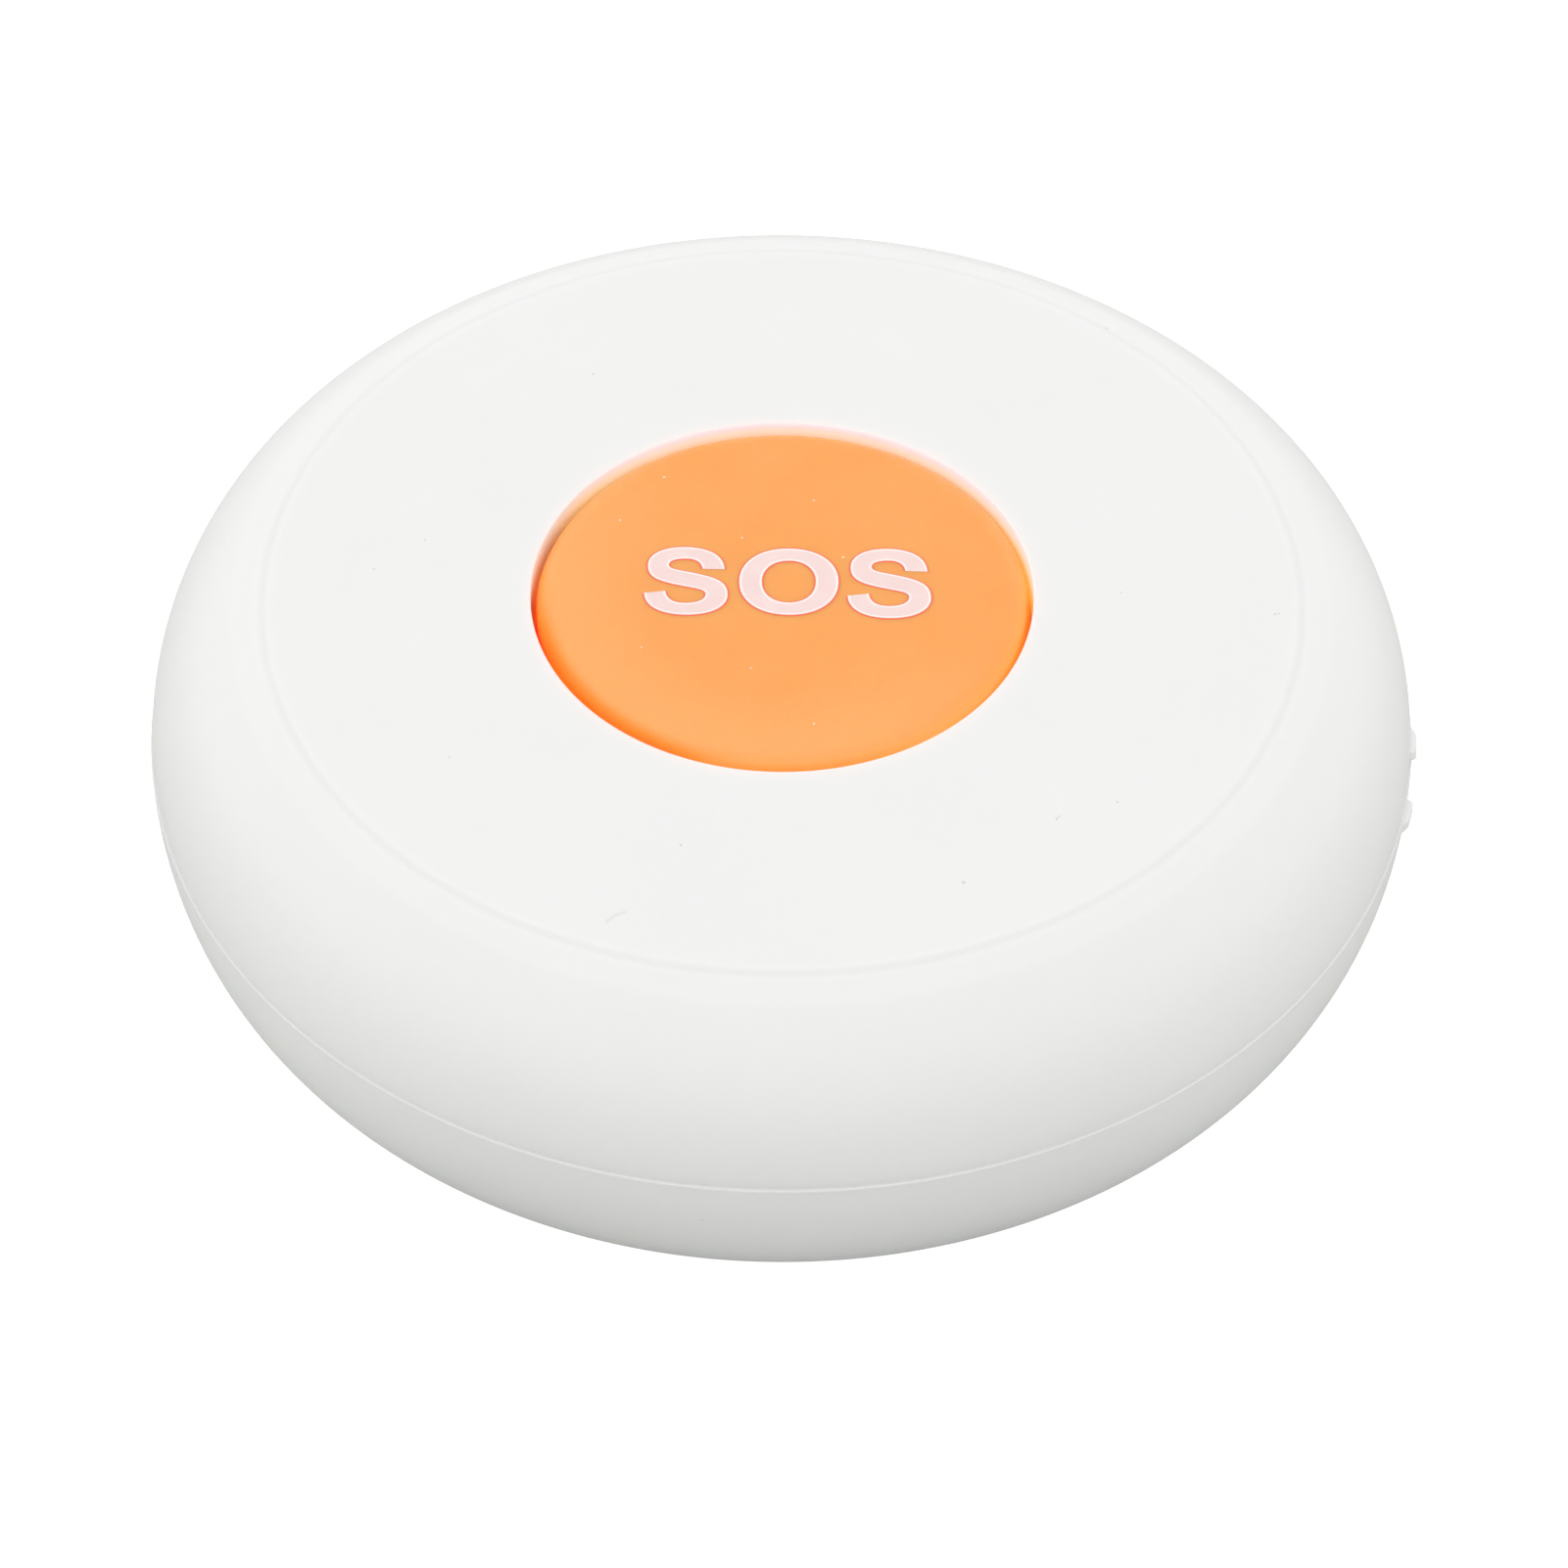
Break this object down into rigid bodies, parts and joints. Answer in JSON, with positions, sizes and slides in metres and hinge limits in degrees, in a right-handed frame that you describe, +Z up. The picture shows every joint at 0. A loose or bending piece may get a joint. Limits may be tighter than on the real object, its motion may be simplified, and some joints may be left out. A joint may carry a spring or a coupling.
{
  "type": "wireless panic button",
  "caption": "Round white two-shell case with a wide orange push button set flush in its flat top, a coin cell behind a twist-off door underneath, and a small radio board inside.",
  "frame": {"origin": "centre of the flat underside, on the surface that the case stands on", "axes": "+Z up out of the button's face; +Y away from the person who reads the button; +X to that person's right"},
  "size_m": [0.0651, 0.065, 0.019],
  "materials": {
    "case_plastic": "satin moulded white plastic",
    "button_plastic": "satin moulded orange plastic",
    "seal_rubber": "matt silicone",
    "screw_steel": "zinc plated",
    "spring_steel": "drawn wire",
    "cell_steel": "nickel plated",
    "board_laminate": "solder mask over glass laminate",
    "switch_plastic": "moulded black plastic",
    "chip_epoxy": "moulded epoxy",
    "lamp_lens": "clear resin",
    "contact_brass": "gold flash on phosphor bronze",
    "antenna_brass": "plated wire",
    "passive_ceramic": "fired ceramic with plated ends"
  },
  "bodies": {
    "case": {"upper_shell": "case_plastic", "lower_shell": "case_plastic", "case_gasket": "seal_rubber", "case_screws": "screw_steel", "return_spring": "spring_steel", "circuit_board": "board_laminate", "board_screws": "screw_steel", "switch_base": "switch_plastic", "switch_cover": "spring_steel", "switch_dome": "spring_steel", "coin_cell": "cell_steel", "positive_contact": "contact_brass", "negative_contact": "contact_brass", "controller_chip": "chip_epoxy", "radio_chip": "chip_epoxy", "crystal": "cell_steel", "status_lamp": "lamp_lens", "capacitors": "passive_ceramic", "resistors": "chip_epoxy", "antenna": "antenna_brass"},
    "button": {"button_cap": "button_plastic", "button_seal": "seal_rubber"},
    "plunger": {"switch_plunger": "switch_plastic"},
    "door": {"battery_door": "case_plastic", "door_seal": "seal_rubber"}
  },
  "joints": [
    {"name": "button_press", "type": "slide", "parent": "case", "child": "button", "axis": [0, 0, -1], "range_m": [0, 0.0005], "stiffness_N_per_m": 1200, "springref_m": -0.001, "deforming": ["return_spring"]},
    {"name": "plunger_slide", "type": "slide", "parent": "case", "child": "plunger", "axis": [0, 0, -1], "range_m": [0, 0.0005], "deforming": ["switch_dome"]},
    {"name": "door_turn", "type": "hinge", "parent": "case", "child": "door", "pos_m": [0, 0, 0.0017], "axis": [0, 0, -1], "range_deg": [0, 25]}
  ],
  "couplings": [
    {"joint": "plunger_slide", "follows": "button_press", "ratio": 1}
  ]
}
